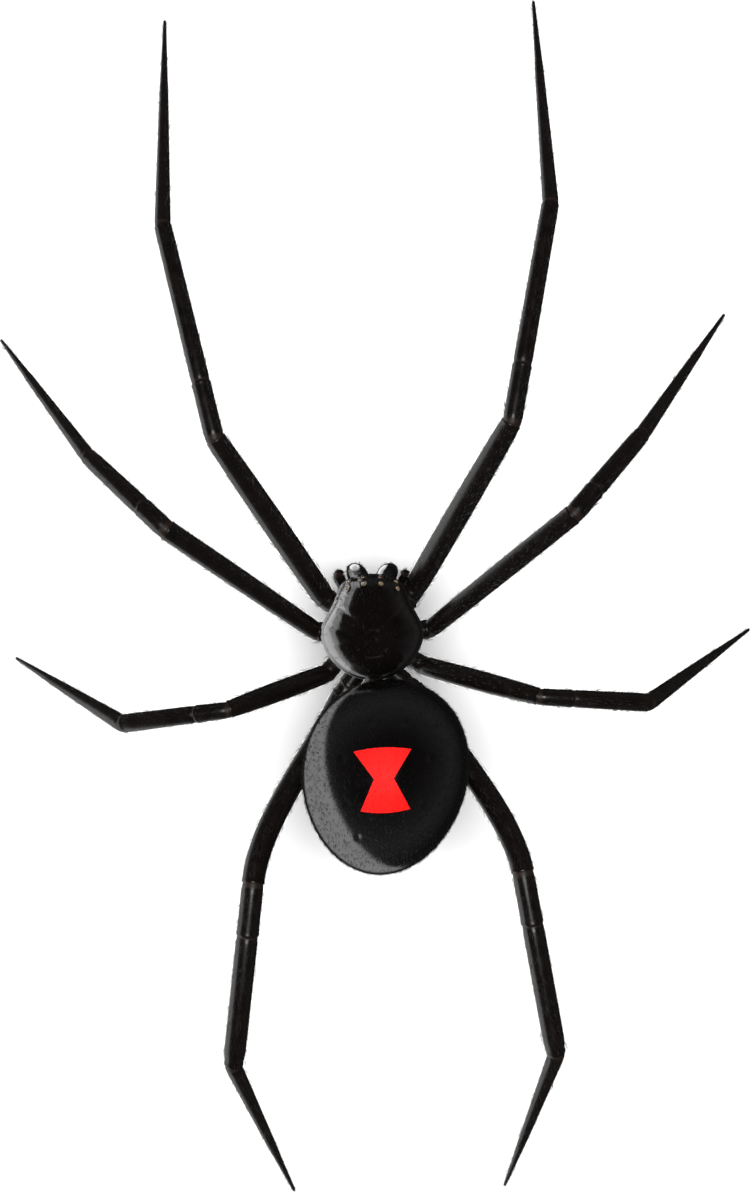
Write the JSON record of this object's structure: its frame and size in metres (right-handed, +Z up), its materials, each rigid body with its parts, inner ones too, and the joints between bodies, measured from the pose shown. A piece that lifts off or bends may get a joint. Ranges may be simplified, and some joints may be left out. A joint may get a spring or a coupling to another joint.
{
  "type": "black widow spider",
  "caption": "Life-size still model of a female black widow spider, standing with its legs spread wide, glossy black with a red hourglass.",
  "frame": {"origin": "on the floor, under the middle of the box round the spread legs; the feet stand at z = 0", "axes": "+Z up; the head faces -Y and the tail end +Y; +X is the animal's left side"},
  "size_m": [0.0286, 0.0456, 0.0079],
  "materials": {
    "body_chitin": "glossy black chitin",
    "abdomen_skin": "polished jet black skin",
    "leg_chitin": "glossy black chitin with fine bristles",
    "red_mark": "satin bright red",
    "eye": "clear dark lens",
    "fang": "polished dark red brown"
  },
  "bodies": {
    "root": {"cephalothorax": "body_chitin", "abdomen": "abdomen_skin", "hourglass_back": "red_mark", "hourglass_belly": "red_mark", "waist": "leg_chitin", "spinnerets": "leg_chitin", "jaw_left": "body_chitin", "fang_left": "fang", "palp_left": "leg_chitin", "jaw_right": "body_chitin", "fang_right": "fang", "palp_right": "leg_chitin", "eye_front_middle_left": "eye", "eye_front_middle_right": "eye", "eye_front_side_left": "eye", "eye_front_side_right": "eye", "eye_rear_middle_left": "eye", "eye_rear_middle_right": "eye", "eye_rear_side_left": "eye", "eye_rear_side_right": "eye", "leg_1_left_coxa": "leg_chitin", "leg_1_left_femur": "leg_chitin", "leg_1_left_tibia": "leg_chitin", "leg_1_left_metatarsus": "leg_chitin", "leg_1_left_tarsus": "leg_chitin", "leg_1_right_coxa": "leg_chitin", "leg_1_right_femur": "leg_chitin", "leg_1_right_tibia": "leg_chitin", "leg_1_right_metatarsus": "leg_chitin", "leg_1_right_tarsus": "leg_chitin", "leg_2_left_coxa": "leg_chitin", "leg_2_left_femur": "leg_chitin", "leg_2_left_tibia": "leg_chitin", "leg_2_left_metatarsus": "leg_chitin", "leg_2_left_tarsus": "leg_chitin", "leg_2_right_coxa": "leg_chitin", "leg_2_right_femur": "leg_chitin", "leg_2_right_tibia": "leg_chitin", "leg_2_right_metatarsus": "leg_chitin", "leg_2_right_tarsus": "leg_chitin", "leg_3_left_coxa": "leg_chitin", "leg_3_left_femur": "leg_chitin", "leg_3_left_tibia": "leg_chitin", "leg_3_left_metatarsus": "leg_chitin", "leg_3_left_tarsus": "leg_chitin", "leg_3_right_coxa": "leg_chitin", "leg_3_right_femur": "leg_chitin", "leg_3_right_tibia": "leg_chitin", "leg_3_right_metatarsus": "leg_chitin", "leg_3_right_tarsus": "leg_chitin", "leg_4_left_coxa": "leg_chitin", "leg_4_left_femur": "leg_chitin", "leg_4_left_tibia": "leg_chitin", "leg_4_left_metatarsus": "leg_chitin", "leg_4_left_tarsus": "leg_chitin", "leg_4_right_coxa": "leg_chitin", "leg_4_right_femur": "leg_chitin", "leg_4_right_tibia": "leg_chitin", "leg_4_right_metatarsus": "leg_chitin", "leg_4_right_tarsus": "leg_chitin"}
  },
  "joints": []
}
